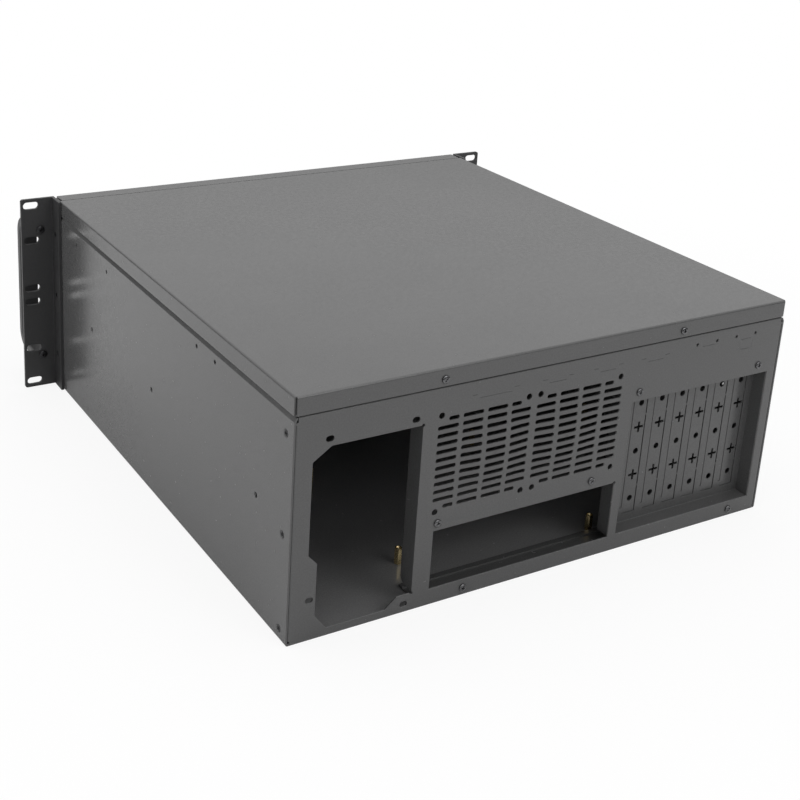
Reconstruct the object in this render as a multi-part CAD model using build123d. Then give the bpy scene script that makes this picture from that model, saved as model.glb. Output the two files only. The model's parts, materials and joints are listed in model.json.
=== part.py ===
from build123d import *
import os

os.makedirs("parts", exist_ok=True)

# An empty rack case, four units high: X to the right as seen from the front, Y to the rear, Z up.
# Sizes are in millimetres. A "u" is a distance across the rear face, from its edge on the +X side.

# Overall sizes
case_width = 422.5
case_height = 177.0
case_depth = 450.0
sheet = 1.2
thin_sheet = 1.0
seam = 0.3
bend = 1.5
small_bend = 0.8
step_bend = 0.3

# Lid
lid_lip = 13.0
lid_inset = 0.2
lid_front_seam = 15.0
lid_front_gap = 1.0
lid_tongue = 8.0
lid_travel_gap = 0.3
lip_gap = 0.6
side_step_height = 3.2
rear_step_height = 0.5
rear_step_slack = 0.2
lid_screw_u = (110.6, 318.5)
lid_screw_drop = 5.0
frame_flange = 12.0

# Rack ears and their handles
ear_sheet = 2.5
ear_flange = 20.0
ear_corner = 2.0
ear_reach = 30.05
rack_slot_inset = 8.75
rack_slot_length = 13.6
rack_slot_width = 6.5
rack_slot_ends = (5.95, 37.7)
rack_slot_middle = 6.35
handle_pitch = 118.0
handle_inset = 16.8
handle_raise = 0.8
handle_reach = 40.0
handle_width = 16.0
handle_bar = 8.0
handle_corner = 16.0
handle_edge = 1.5
handle_bore = 10.0
ear_screw_inset = 32.0

# Screws: head radius, head height, shank radius
small_screw = (2.9, 1.5, 1.5)
handle_screw = (3.6, 1.8, 2.0)
screw_edge = 0.5
screw_length = 4.0
lid_screw_length = 7.0
shank_gap = 0.15

# Power supply opening in the rear face
psu_left_u = 14.2
psu_right_u = 95.9
psu_top = 139.0
psu_bottom = 5.6
psu_corner_run = (13.5, 9.1)
psu_step_top = 63.4
psu_step_bottom = 56.2
psu_step_u = 20.8
psu_low_corner = (9.2, 11.8)
psu_low_right_u = (74.9, 84.3)
psu_low_right_z = 13.2
psu_flange = 14.5
psu_flange_corner = 6.0
psu_hole_length = 6.0
psu_hole_width = 4.3
psu_holes = ((26.0, 144.2), (90.0, 144.2), (90.0, 6.2), (16.0, 30.2))
relief_radius = 1.2

# Rear fan grilles
fan_hole_pitch = 71.5
fan_hole_radius = 2.3
fan_centre_u = (145.8, 227.2)
fan_centre_z = 107.3
grille_rows = 12
grille_row_pitch = 5.92
grille_columns = 4
grille_column_pitch = 19.9
grille_slot_length = 16.6
grille_slot_width = 2.4
grille_short_slot = 8.2
dome_radius = 27.0
dome_rise = 1.5
dome_shift = 10.0

# Connector opening, and the window in front of the card slots
io_left_u = 110.2
io_width = 158.75
io_bottom = 11.9
io_height = 45.2
window_left_u = 276.3
window_right_u = 412.5
window_bottom = 12.2
window_top = 120.2
rear_screws = ((113.0, 62.7), (246.2, 63.9), (138.7, 5.6), (392.5, 5.6), (282.7, 127.2), (401.6, 127.2))
test_hole_u = 334.4
test_hole_pitch = 19.7
test_hole_drop = 8.8
test_hole_radius = 1.3
test_hole_count = 4

# Break-out plates above the grilles, each outlined by thin slits
break_slit = 0.2
plate_u = (153.0, 205.6, 250.5, 294.3)
plate_lengths = (26.7, 14.8, 14.8, 14.8)
plate_z = 150.2
plate_ear_z = 153.0
plate_ear_length = 4.4
plate_ear_gap = 1.6
strip_u = 345.9
strip_length = 12.2
strip_z = 153.0
tab_u = 384.1
tab_width = 13.3
tab_low = 143.8
tab_high = 152.0
tab_corner = 1.5

# Card slots: each has a cover in the same sheet, freed by slits and held by small bridges
slot_count = 7
slot_pitch = 20.32
slot_recess = 12.8
last_slot_u = 400.3
cover_near_edge = 7.5
cover_far_edge = 6.1
cover_bottom = 19.0
cover_top = 126.0
far_slit = 0.9
near_slit = 0.5
near_slit_rise = 5.0
near_slit_hook = 1.3
low_slit_inset = 1.5
bridge_z = (41.0, 100.0)
bridge_length = 1.2
cover_hole_radius = 2.4
cover_cross_arm = 8.5
cover_cross_width = 1.9
cover_first_hole = 31.2
cover_pattern_pitch = 19.75
cover_pattern_count = 5
shelf_height = 132.0
shelf_flange = 10.0
shelf_hole_shift = 6.3
shelf_hole_depth = 5.4

# Rear frame: sheet behind the connector opening, with a foot on the floor that ends in a hem
rear_frame_left_u = 103.0
rear_frame_right_u = 408.0
rear_frame_top = 68.0
rear_frame_foot = 26.2
rear_frame_hem = 4.6
rear_frame_margin = 1.0

# Main board: its hole grid comes from an inch standard
inch = 25.4
board_height = 14.0
board_datum_u = 400.4
board_rear_row = 29.4
standoff_radius = 2.9
standoff_bore = 1.4
standoff_base_radius = 2.0
board_columns = (0.0, 4.9, 11.1)
board_rows = (0.0, 6.1, 8.95)
board_inner_row = 0.9

# Holes along the sides: distance from the rear face, and height
rail_holes = ((48.3, 86.5), (226.4, 86.5), (356.2, 86.5))
rail_hole_radius = 2.1
rear_side_screw_y = 10.2
rear_side_screw_z = (77.5, 8.0)
rear_side_screw_drop = 15.3
side_flange = 18.0

# Cross brace and cage bridge: distance of the middle from the rear face, width, and how far the
# top lies below the lid, with the screws below that top
brace_y = 129.8
brace_width = 46.0
brace_drop = 15.3
brace_lip = 12.0
brace_screw_pitch = 30.2
brace_screw_drop = 6.1
bridge_y = 356.9
bridge_width = 92.0
bridge_drop = 15.8
bridge_screw_pitch = 71.6
bridge_screw_drop = 10.0
brace_end = 15.0

# Drive cages
bay_width = 149.2
bay_height = 42.4
bay_count = 3
bay_centre_x = 112.0
bay_bottom = 14.0
bay_depth = 146.0
cage_front_gap = 8.0
drive_width = 102.6
drive_centre_x = -75.0
drive_depth = 150.0
drive_front_gap = 18.0
cage_foot = 12.0
cage_slot_inset = 24.0
cage_slot_length = 9.6
cage_slot_width = 3.6
bay_slot_rise = 14.8
drive_first_row = 24.0
drive_row_pitch = 25.4
drive_row_count = 5

# Front: vent, switches and lamps
front_flange = 12.0
vent_centre_x = -75.0
vent_centre_z = 90.0
vent_hole_pitch = 105.0
vent_slot_length = 18.0
vent_slot_width = 3.0
vent_rows = 12
vent_row_pitch = 7.5
vent_columns = 4
vent_column_pitch = 22.0
switch_x = -180.0
power_drop = 49.0
reset_drop = 73.0
power_radius = 6.5
reset_radius = 3.0
button_proud = 2.0
button_travel = 1.5
button_rim = 1.5
button_rim_depth = 1.0
button_edge = 0.5
button_gap = 0.3
stem_radius = 1.5
stem_end = 1.0
lamp_radius = 1.5
lamp_proud = 0.5
lamp_drops = (31.0, 24.0)
bracket_room = 8.0
bracket_side = 2.0
bracket_foot = 8.0
bracket_below = 12.0
bracket_above = 6.0
bay_rim_x = 1.0
bay_rim_z = 0.8
bay_cover_gap = 0.4
bay_cover_proud = 1.0
bay_cover_plug = 5.0
bay_cover_wall = 2.0

# Planes and levels that follow from the sizes above
half_width = case_width / 2
rear_y = (case_depth + handle_reach - small_screw[1]) / 2
front_y = rear_y - case_depth
wall_x = half_width - sheet
lid_under = case_height - sheet
flange_top = lid_under - lid_travel_gap
lip_bottom = case_height - lid_lip
side_step = lid_inset + sheet + lid_travel_gap
rear_step = rear_step_slack + sheet + lid_travel_gap
step_top = lip_bottom - lip_gap
side_step_bottom = step_top - side_step_height
rear_step_bottom = step_top - rear_step_height
side_flange_top = side_step_bottom - 2 * sheet
lid_front_y = front_y + lid_front_seam + lid_front_gap
brace_top = lid_under - brace_drop
bridge_top = lid_under - bridge_drop
ear_tip = half_width + ear_reach
ear_screw_y = front_y + ear_flange / 2
ear_screw_z = (ear_screw_inset, case_height / 2, case_height - ear_screw_inset)
handle_x = ear_tip - handle_inset
handle_height = case_height / 2 + handle_raise
side_screw_z = (lip_bottom - rear_side_screw_drop, *rear_side_screw_z)
test_hole_z = lip_bottom - test_hole_drop
power_z = case_height - power_drop
reset_z = case_height - reset_drop
lamp_z = [case_height - drop for drop in lamp_drops]
bracket_depth = button_gap + button_rim_depth + button_travel + bracket_room
cut_reach = 2 * bend


def x_at(u):
    """Place across the rear face, from the distance u."""
    return half_width - u


def block(x0, x1, y0, y1, z0, z1):
    """A rectangular block between two corners."""
    centre = ((x0 + x1) / 2, (y0 + y1) / 2, (z0 + z1) / 2)
    return Pos(*centre) * Box(abs(x1 - x0), abs(y1 - y0), abs(z1 - z0))


def folded(points, thickness, radii, inside=Side.LEFT):
    """Section of a folded sheet, from its outer line and the radius of each bend."""
    line = FilletPolyline(*points, radius=radii)
    return Face(line.wire().offset_2d(thickness, kind=Kind.INTERSECTION, side=inside, closed=True))


def along_y(face, y0, y1):
    """Extrude a section drawn in X and Z from y0 to y1."""
    return extrude(Plane(origin=(0, y1, 0), x_dir=(1, 0, 0), z_dir=(0, -1, 0)) * face, y1 - y0, (0, -1, 0))


def along_x(face, x0, x1):
    """Extrude a section drawn in Y and Z from x0 to x1."""
    return extrude(Plane(origin=(x0, 0, 0), x_dir=(0, 1, 0), z_dir=(1, 0, 0)) * face, x1 - x0, (1, 0, 0))


def along_z(face, z0, z1):
    """Extrude a section drawn in X and Y from z0 to z1."""
    return extrude(Plane(origin=(0, 0, z0)) * face, z1 - z0, (0, 0, 1))


def rod(x, y, z, radius, direction, length):
    """A cylinder that starts at a point and runs along a direction."""
    start = Plane(origin=(x, y, z), z_dir=direction)
    return start * Cylinder(radius, length, align=(Align.CENTER, Align.CENTER, Align.MIN))


def hole_y(x, z, radius, y=None):
    """Cutter for a round hole through a wall that faces the rear or the front."""
    middle = rear_y if y is None else y
    return rod(x, middle - cut_reach, z, radius, (0, 1, 0), 2 * cut_reach)


def slot_y(x, z, length, width, y=None):
    """Cutter for a long hole with round ends through a wall that faces the rear or the front."""
    middle = rear_y if y is None else y
    return along_y(Pos(x, z) * SlotOverall(length, width), middle - cut_reach, middle + cut_reach)


def hole_x(y, z, radius, side):
    """Cutter for a round hole through a side wall; side is +1 or -1."""
    return rod(side * (wall_x - 2 * cut_reach), y, z, radius, (side, 0, 0), 4 * cut_reach)


def pan_screw(x, y, z, direction, size, length):
    """A screw with a low round head that stands out along a direction from its seat."""
    head_radius, head_height, shank_radius = size
    seat = Plane(origin=(x, y, z), z_dir=direction)
    head = Cylinder(head_radius, head_height, align=(Align.CENTER, Align.CENTER, Align.MIN))
    head = chamfer(head.edges().sort_by(Axis.Z)[-1], screw_edge)
    shank = Cylinder(shank_radius, length, align=(Align.CENTER, Align.CENTER, Align.MAX))
    return seat * (head + shank)


def write(name, shapes):
    """Save one solid, or a group of like solids, under its node name."""
    if not isinstance(shapes, (list, tuple)):
        shapes = [shapes]
    solids = [solid for shape in shapes for solid in shape.solids()]
    result = solids[0] if len(solids) == 1 else Compound(children=solids)
    result.label = name
    export_step(result, f"parts/{name}.step")


# Base: one sheet folded to a floor and two sides, with a step that takes the lid's lips

def chassis_base():
    shoulder_x = half_width - side_step
    right_side = [
        (half_width, 0),
        (half_width, side_step_bottom),
        (shoulder_x, step_top),
        (shoulder_x, flange_top),
        (shoulder_x - frame_flange, flange_top),
    ]
    left_side = [(-x, z) for x, z in reversed(right_side)]
    radii = [small_bend] + 6 * [bend] + [small_bend]
    base = along_y(folded(left_side + right_side, sheet, radii), front_y + sheet, rear_y)
    lip_room = (rear_y - rear_step, rear_y + sheet)
    cutters = [block(-half_width, half_width, *lip_room, rear_step_bottom, case_height)]
    for side in (1, -1):
        for distance, height in rail_holes:
            cutters.append(hole_x(rear_y - distance, height, rail_hole_radius, side))
        for height in side_screw_z:
            cutters.append(side_screw_cutter(rear_y - rear_side_screw_y, height, side))
        for middle, pitch, height in end_screw_rows():
            for half in (-0.5, 0.5):
                y = rear_y - middle + half * pitch
                cutters.append(hole_x(y, height, small_screw[2] + shank_gap, side))
        for height in ear_screw_z:
            cutters.append(hole_x(ear_screw_y, height, small_screw[2] + shank_gap, side))
    for x, y in floor_screw_places():
        cutters.append(rod(x, y, -sheet, small_screw[2] + shank_gap, (0, 0, 1), 4 * sheet))
    for x, y in standoff_places():
        cutters.append(rod(x, y, -sheet, standoff_base_radius, (0, 0, 1), 4 * sheet))
    return base - cutters


def side_screw_cutter(y, z, side, face_x=half_width):
    """Hole with a countersink for a flat screw in a side; face_x is the face that it is flush with."""
    head_radius, head_height, shank_radius = small_screw
    mouth = Plane(origin=(side * face_x, y, z), z_dir=(-side, 0, 0))
    cone = Cone(head_radius, shank_radius + shank_gap, sheet, align=(Align.CENTER, Align.CENTER, Align.MIN))
    return mouth * cone + hole_x(y, z, shank_radius + shank_gap, side)


def flat_screw(y, z, side, length, face_x=half_width):
    """Screw with a flat conical head, flush with a side face."""
    head_radius, head_height, shank_radius = small_screw
    mouth = Plane(origin=(side * face_x, y, z), z_dir=(-side, 0, 0))
    cone = Cone(head_radius, shank_radius, sheet, align=(Align.CENTER, Align.CENTER, Align.MIN))
    return mouth * (cone + Cylinder(shank_radius, length, align=(Align.CENTER, Align.CENTER, Align.MIN)))


def end_screw_rows():
    """Middle, pitch and height of the screws that hold the two bars between the sides."""
    return (
        (brace_y, brace_screw_pitch, brace_top - brace_screw_drop),
        (bridge_y, bridge_screw_pitch, bridge_top - bridge_screw_drop),
    )


def cage_spans():
    """Outer X range of the two cages that stand on the floor."""
    bay_half = bay_width / 2 + thin_sheet
    drive_half = drive_width / 2 + thin_sheet
    return (
        (bay_centre_x - bay_half, bay_centre_x + bay_half),
        (drive_centre_x - drive_half, drive_centre_x + drive_half),
    )


def cage_ranges():
    """Y range of the two cages."""
    bay_start = front_y + front_flange + cage_front_gap
    drive_start = front_y + front_flange + drive_front_gap
    return (bay_start, bay_start + bay_depth), (drive_start, drive_start + drive_depth)


def floor_screw_places():
    """Places of the screws through the cages' feet into the floor."""
    places = []
    for (x0, x1), (y0, y1) in zip(cage_spans(), cage_ranges()):
        for x in (x0 - cage_foot / 2, x1 + cage_foot / 2):
            for y in (y0 + cage_slot_inset, y1 - cage_slot_inset):
                places.append((x, y))
    return places


# Rear panel

def rear_panel_section():
    """Side view of the rear panel: flat face, step under the lid's lip and a top flange."""
    inner = rear_y - rear_step
    line = [
        (rear_y, sheet),
        (rear_y, rear_step_bottom),
        (inner, step_top),
        (inner, flange_top),
        (inner - frame_flange, flange_top),
    ]
    return folded(line, sheet, [step_bend, step_bend, small_bend])


def psu_outline():
    """Outline of the power supply opening, in X and Z."""
    corner_u, corner_z = psu_corner_run
    low_u, low_z = psu_low_corner
    points = [
        (psu_left_u + corner_u, psu_top),
        (psu_right_u, psu_top),
        (psu_right_u, psu_low_right_z),
        (psu_low_right_u[1], psu_low_right_z),
        (psu_low_right_u[0], psu_bottom),
        (psu_step_u + low_u, psu_bottom),
        (psu_step_u, psu_bottom + low_z),
        (psu_step_u, psu_step_bottom),
        (psu_left_u, psu_step_top),
        (psu_left_u, psu_top - corner_z),
    ]
    outline = make_face(Polyline(*[(x_at(u), z) for u, z in points], close=True))
    soft = [v for v in outline.vertices() if abs(v.X - x_at(psu_right_u)) > seam]
    return fillet(soft, bend)


def grille_slots(centre_x):
    """Cutters of one fan grille, with short slots beside the four corner holes."""
    cutters = []
    for row in range(grille_rows):
        z = fan_centre_z + (row - (grille_rows - 1) / 2) * grille_row_pitch
        for column in range(grille_columns):
            offset = (column - (grille_columns - 1) / 2) * grille_column_pitch
            length = grille_slot_length
            if row in (0, grille_rows - 1) and column in (0, grille_columns - 1):
                length = grille_short_slot
                inwards = 1 if offset < 0 else -1
                offset += inwards * (grille_slot_length - grille_short_slot) / 2
            cutters.append(slot_y(centre_x + offset, z, length, grille_slot_width))
    for dx in (-0.5, 0.5):
        for dz in (-0.5, 0.5):
            x = centre_x + dx * fan_hole_pitch
            z = fan_centre_z + dz * fan_hole_pitch
            cutters.append(hole_y(x, z, fan_hole_radius))
    return cutters


def dome(x, z):
    """Shallow round bulge of a grille, as a shell one sheet thick."""
    ball = (dome_radius ** 2 + dome_rise ** 2) / (2 * dome_rise)
    centre = Plane(origin=(x, rear_y + dome_rise - ball, z), z_dir=(0, 1, 0))
    shell = centre * (Sphere(ball) - Sphere(ball - sheet))
    return shell & rod(x, rear_y - sheet, z, dome_radius, (0, 1, 0), 2 * sheet + dome_rise)


def rear_panel():
    inside_x = wall_x - shank_gap
    panel = along_x(rear_panel_section(), -inside_x + bend, inside_x - bend)
    sides = [
        (-inside_x, rear_y - side_flange),
        (-inside_x, rear_y),
        (inside_x, rear_y),
        (inside_x, rear_y - side_flange),
    ]
    panel += along_z(folded(sides, sheet, bend, Side.RIGHT), 2 * bend, side_flange_top)
    panel += block(-inside_x, inside_x, rear_y - sheet, rear_y, side_flange_top, side_step_bottom - 2 * seam)
    shoulder_x = half_width - side_step - sheet - shank_gap
    flange_x = half_width - side_step - frame_flange - bend
    for side in (1, -1):
        panel -= block(side * shoulder_x, side * half_width, rear_y - side_flange, rear_y + sheet,
                       side_step_bottom, case_height)
        panel -= block(side * flange_x, side * half_width, rear_y - side_flange, rear_y + sheet,
                       flange_top - sheet - shank_gap, case_height)
    inner = rear_y - bend
    outer = rear_y + bend
    panel -= block(x_at(window_left_u), x_at(window_right_u), inner, outer, window_bottom, window_top)
    io_right_u = io_left_u + io_width
    panel -= block(x_at(io_left_u), x_at(io_right_u), inner, outer, io_bottom, io_bottom + io_height)
    panel -= along_y(psu_outline(), inner, outer)
    panel += psu_side_flange()
    cutters = []
    for u, z in psu_holes:
        cutters.append(slot_y(x_at(u), z, psu_hole_length, psu_hole_width))
    for z in (psu_low_right_z, psu_top):
        cutters.append(hole_y(x_at(psu_right_u), z, relief_radius))
    cutters.append(hole_y(x_at(io_right_u), io_bottom + io_height, relief_radius))
    for u, z in rear_screws:
        cutters.append(hole_y(x_at(u), z, small_screw[2] + shank_gap))
    for index in range(test_hole_count):
        cutters.append(hole_y(x_at(test_hole_u + index * test_hole_pitch), test_hole_z, test_hole_radius))
    for u in lid_screw_u:
        cutters.append(hole_y(x_at(u), lip_bottom + lid_screw_drop, small_screw[2] + seam))
    for u0, u1, z0, z1 in break_out_slits():
        cutters.append(block(x_at(u0), x_at(u1), inner, outer, z0, z1))
    for side in (1, -1):
        for height in side_screw_z:
            cutters.append(hole_x(rear_y - rear_side_screw_y, height, small_screw[2] + shank_gap, side))
    for number, u in enumerate(fan_centre_u):
        centre_x = x_at(u)
        dome_x = centre_x + (dome_shift if number else -dome_shift)
        panel -= rod(dome_x, rear_y - 2 * sheet, fan_centre_z, dome_radius, (0, 1, 0), 4 * sheet)
        panel += dome(dome_x, fan_centre_z)
        cutters += grille_slots(centre_x)
    return panel - cutters


def break_out_slits():
    """Range in u and in height of each slit that outlines a break-out plate."""
    half = break_slit / 2
    slits = []
    for u, length in zip(plate_u, plate_lengths):
        slits.append((u - length / 2, u + length / 2, plate_z - half, plate_z + half))
        for side in (1, -1):
            start = u + side * (length / 2 + plate_ear_gap)
            end = start + side * plate_ear_length
            slits.append((start, end, plate_ear_z - half, plate_ear_z + half))
    slits.append((strip_u - strip_length / 2, strip_u + strip_length / 2, strip_z - half, strip_z + half))
    near = tab_u - tab_width / 2
    far = tab_u + tab_width / 2
    for z in (tab_low, tab_high):
        slits.append((near + tab_corner, far - tab_corner, z - half, z + half))
    for u in (near, far):
        slits.append((u - half, u + half, tab_low + tab_corner, tab_high - tab_corner))
    return slits


def psu_side_flange():
    """Flange bent inwards along the inner edge of the power supply opening."""
    x = x_at(psu_right_u)
    z0 = psu_low_right_z + relief_radius
    flange = block(x - sheet, x, rear_y - psu_flange, rear_y, z0, psu_top - relief_radius)
    corners = flange.edges().filter_by(Axis.X).group_by(Axis.Y)[0]
    return fillet(corners, psu_flange_corner)


# Rear frame, and the posts that carry the main board

def rear_frame():
    back = rear_y - sheet
    toe = rear_y - rear_frame_foot
    section = folded([(back, rear_frame_top), (back, sheet), (toe, sheet)], thin_sheet, bend, Side.RIGHT)
    left = x_at(rear_frame_left_u)
    right = x_at(rear_frame_right_u)
    frame = along_x(section, right, left)
    frame += block(right, left, toe, toe + rear_frame_hem, sheet + thin_sheet / 2, sheet + 2 * thin_sheet)
    margin = rear_frame_margin
    frame -= block(right - margin, x_at(slot_frame_left_u() - 2 * thin_sheet), back - bend, back + bend,
                   slot_floor(), case_height)
    frame -= block(x_at(io_left_u - margin), x_at(io_left_u + io_width + margin), back - bend, back + bend,
                   io_bottom - margin, io_bottom + io_height + margin)
    return frame - [hole_y(x_at(u), z, small_screw[2], back) for u, z in rear_screws]


def slot_floor():
    """Underside of the slot pan, which stands on the rear frame."""
    return window_bottom - thin_sheet


def standoff_places():
    """The nine board screws: three rows, the third of the first row set further in."""
    places = []
    for column in board_columns:
        for row in board_rows:
            if column == board_columns[-1] and row == board_rows[0]:
                row = board_inner_row
            places.append((x_at(board_datum_u - column * inch), rear_y - board_rear_row - row * inch))
    return places


def motherboard_standoffs():
    posts = []
    for x, y in standoff_places():
        post = along_z(Pos(x, y) * RegularPolygon(standoff_radius, 6), sheet, board_height)
        foot = rod(x, y, 0, standoff_base_radius, (0, 0, 1), sheet)
        bore = rod(x, y, 2 * sheet, standoff_bore, (0, 0, 1), board_height)
        posts.append(post + foot - bore)
    return posts


# Card slots: a shallow pan behind the window, with a break-off cover at each slot

def slot_frame_left_u():
    return io_left_u + io_width + thin_sheet + seam


def slot_u(index):
    return last_slot_u - (slot_count - 1 - index) * slot_pitch


def slot_plane_y():
    return rear_y - slot_recess


def slot_frame():
    left = x_at(slot_frame_left_u())
    right = x_at(window_right_u) - thin_sheet
    back = rear_y - sheet
    wall = slot_plane_y()
    section = [
        (back, slot_floor()),
        (wall - thin_sheet, slot_floor()),
        (wall - thin_sheet, shelf_height),
        (back, shelf_height),
        (back, shelf_height - shelf_flange),
    ]
    frame = along_x(folded(section, thin_sheet, [bend, bend, bend], Side.RIGHT), right, left)
    for x0, x1 in ((left - thin_sheet, left), (right, right + thin_sheet)):
        frame += block(x0, x1, wall - thin_sheet / 2, back, slot_floor() + thin_sheet / 2,
                       shelf_height - thin_sheet / 2)
    cutters = []
    for index in range(slot_count):
        u = slot_u(index)
        cutters += cover_slits(u) + cover_pattern(x_at(u))
        cutters.append(rod(x_at(u + shelf_hole_shift), rear_y - shelf_hole_depth,
                           shelf_height - 2 * thin_sheet, small_screw[2], (0, 0, 1), 4 * thin_sheet))
    for u, z in rear_screws:
        cutters.append(hole_y(x_at(u), z, small_screw[2], back - bend))
    return frame - cutters


def cover_slits(u):
    """Slits that free one cover: the far one is broken by bridges, the near one ends in a hook."""
    near = u - cover_near_edge
    far = u + cover_far_edge
    hook_z = cover_bottom + near_slit_rise
    slits = [
        (near, near + near_slit, hook_z, cover_top),
        (near - near_slit_hook, near + near_slit, hook_z, hook_z + near_slit),
        (near + low_slit_inset, far, cover_bottom, cover_bottom + near_slit),
    ]
    start = cover_bottom
    for z in bridge_z:
        slits.append((far - far_slit, far, start, z - bridge_length / 2))
        start = z + bridge_length / 2
    slits.append((far - far_slit, far, start, cover_top))
    wall = slot_plane_y()
    return [block(x_at(u0), x_at(u1), wall - bend, wall + bend / 2, z0, z1) for u0, u1, z0, z1 in slits]


def cover_pattern(x):
    """Column of round and cross shaped holes, in turn, down one cover."""
    wall = slot_plane_y()
    cutters = []
    for step in range(cover_pattern_count):
        z = cover_first_hole + step * cover_pattern_pitch
        if step % 2 == 0:
            cutters.append(rod(x, wall - bend, z, cover_hole_radius, (0, 1, 0), 2 * bend))
        else:
            cross = Rectangle(cover_cross_arm, cover_cross_width)
            cross += Rectangle(cover_cross_width, cover_cross_arm)
            cutters.append(along_y(Pos(x, z) * cross, wall - bend, wall + bend))
    return cutters


# Lid, with the two screws that leave with it

def top_cover():
    half = half_width - lid_inset
    section = [(-half, lip_bottom), (-half, case_height), (half, case_height), (half, lip_bottom)]
    lid = along_y(folded(section, sheet, bend, Side.RIGHT), lid_front_y, rear_y - bend)
    rear_lip = [
        (lid_front_y, case_height),
        (rear_y, case_height),
        (rear_y, lip_bottom),
    ]
    lid += along_x(folded(rear_lip, sheet, bend, Side.RIGHT), -half + bend, half - bend)
    tongue_top = lid_under - seam
    tongue_half = half - side_step - frame_flange - bend
    tongue = block(-tongue_half, tongue_half, lid_front_y - lid_tongue, lid_front_y + bend,
                   tongue_top - thin_sheet, tongue_top)
    link = block(-tongue_half, tongue_half, lid_front_y, lid_front_y + bend,
                 tongue_top - thin_sheet, case_height - seam)
    lid = lid + tongue + link
    screw_z = lip_bottom + lid_screw_drop
    return lid - [hole_y(x_at(u), screw_z, small_screw[2] + shank_gap) for u in lid_screw_u]


def top_cover_screws():
    z = lip_bottom + lid_screw_drop
    return [pan_screw(x_at(u), rear_y, z, (0, 1, 0), small_screw, lid_screw_length) for u in lid_screw_u]


# Front panel

def front_panel():
    inside_x = wall_x - shank_gap
    back = front_y + sheet
    section = [
        (front_y + front_flange, sheet),
        (front_y, sheet),
        (front_y, case_height),
        (front_y + lid_front_seam, case_height),
    ]
    panel = along_x(folded(section, sheet, bend, Side.RIGHT), -inside_x + bend, inside_x - bend)
    panel += block(-half_width, half_width, front_y, back, 0, side_step_bottom)
    for side in (1, -1):
        x = side * inside_x
        panel += block(x - side * sheet, x, front_y + sheet / 2, front_y + front_flange, 2 * bend,
                       side_flange_top)
    cutters = [hole_x(ear_screw_y, z, small_screw[2], side) for z in ear_screw_z for side in (1, -1)]
    for index in range(bay_count):
        z0 = bay_bottom + index * bay_height
        half = bay_width / 2 - bay_rim_x
        cutters.append(block(bay_centre_x - half, bay_centre_x + half, front_y - sheet, front_y + 2 * sheet,
                             z0 + bay_rim_z, z0 + bay_height - bay_rim_z))
    for row in range(vent_rows):
        z = vent_centre_z + (row - (vent_rows - 1) / 2) * vent_row_pitch
        for column in range(vent_columns):
            x = vent_centre_x + (column - (vent_columns - 1) / 2) * vent_column_pitch
            cutters.append(slot_y(x, z, vent_slot_length, vent_slot_width, front_y))
    for dx in (-0.5, 0.5):
        for dz in (-0.5, 0.5):
            x = vent_centre_x + dx * vent_hole_pitch
            z = vent_centre_z + dz * vent_hole_pitch
            cutters.append(hole_y(x, z, fan_hole_radius, front_y))
    cutters.append(hole_y(switch_x, power_z, power_radius + button_gap, front_y))
    cutters.append(hole_y(switch_x, reset_z, reset_radius + button_gap, front_y))
    for z in lamp_z:
        cutters.append(hole_y(switch_x, z, lamp_radius + shank_gap, front_y))
    return panel - cutters


def bay_cover(index):
    """Moulded blank for one drive bay: a face, and behind it a rim that fits the opening."""
    low = bay_bottom + index * bay_height
    high = low + bay_height
    half = bay_width / 2
    gap = bay_cover_gap
    face = block(bay_centre_x - half, bay_centre_x + half, front_y - bay_cover_proud - sheet, front_y,
                 low + gap / 2, high - gap / 2)
    face = fillet(face.edges().group_by(Axis.Y)[0], bay_cover_proud)
    wide = half - bay_rim_x - gap
    low += bay_rim_z + gap
    high -= bay_rim_z + gap
    back = front_y + bay_cover_plug
    rim = block(bay_centre_x - wide, bay_centre_x + wide, front_y, back, low, high)
    wall = bay_cover_wall
    wide -= wall
    hollow = block(bay_centre_x - wide, bay_centre_x + wide, front_y, back, low + wall, high - wall)
    return face + (rim - hollow)


def button(radius, z):
    """Push button: cap, a rim that stays behind the panel, and a stem."""
    seat = front_y + sheet + button_gap
    cap_length = button_proud + sheet + button_gap + button_rim_depth
    cap = rod(switch_x, front_y - button_proud, z, radius, (0, 1, 0), cap_length)
    cap = chamfer(cap.edges().filter_by(GeomType.CIRCLE).sort_by(Axis.Y)[0], button_edge)
    rim = rod(switch_x, seat, z, radius + button_rim, (0, 1, 0), button_rim_depth)
    stem = rod(switch_x, seat, z, stem_radius, (0, 1, 0), bracket_depth - button_gap + stem_end)
    return cap + rim + stem


def switch_bracket():
    """Folded hat behind the panel that guides the stems of both buttons."""
    back = front_y + sheet
    deep = back + bracket_depth
    half = power_radius + button_rim + bracket_side
    section = [
        (switch_x - half - bracket_foot, back),
        (switch_x - half, back),
        (switch_x - half, deep),
        (switch_x + half, deep),
        (switch_x + half, back),
        (switch_x + half + bracket_foot, back),
    ]
    profile = folded(section, thin_sheet, thin_sheet)
    hat = along_z(profile, reset_z - bracket_below, lamp_z[-1] + bracket_above)
    cutters = [hole_y(switch_x, z, stem_radius + button_gap, deep) for z in (power_z, reset_z)]
    cutters += [hole_y(switch_x, z, lamp_radius + shank_gap, deep) for z in lamp_z]
    return hat - cutters


def lamp(z):
    """Clear lamp that reaches from the bracket through the panel."""
    length = lamp_proud + sheet + bracket_depth
    return rod(switch_x, front_y - lamp_proud, z, lamp_radius, (0, 1, 0), length)


# Rack ears and handles

def rack_slot_heights():
    """Two rack slots from each end of an ear, and two about its middle."""
    middle = case_height / 2
    low = list(rack_slot_ends)
    high = [case_height - end for end in rack_slot_ends]
    return low + [middle - rack_slot_middle, middle + rack_slot_middle] + high


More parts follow.
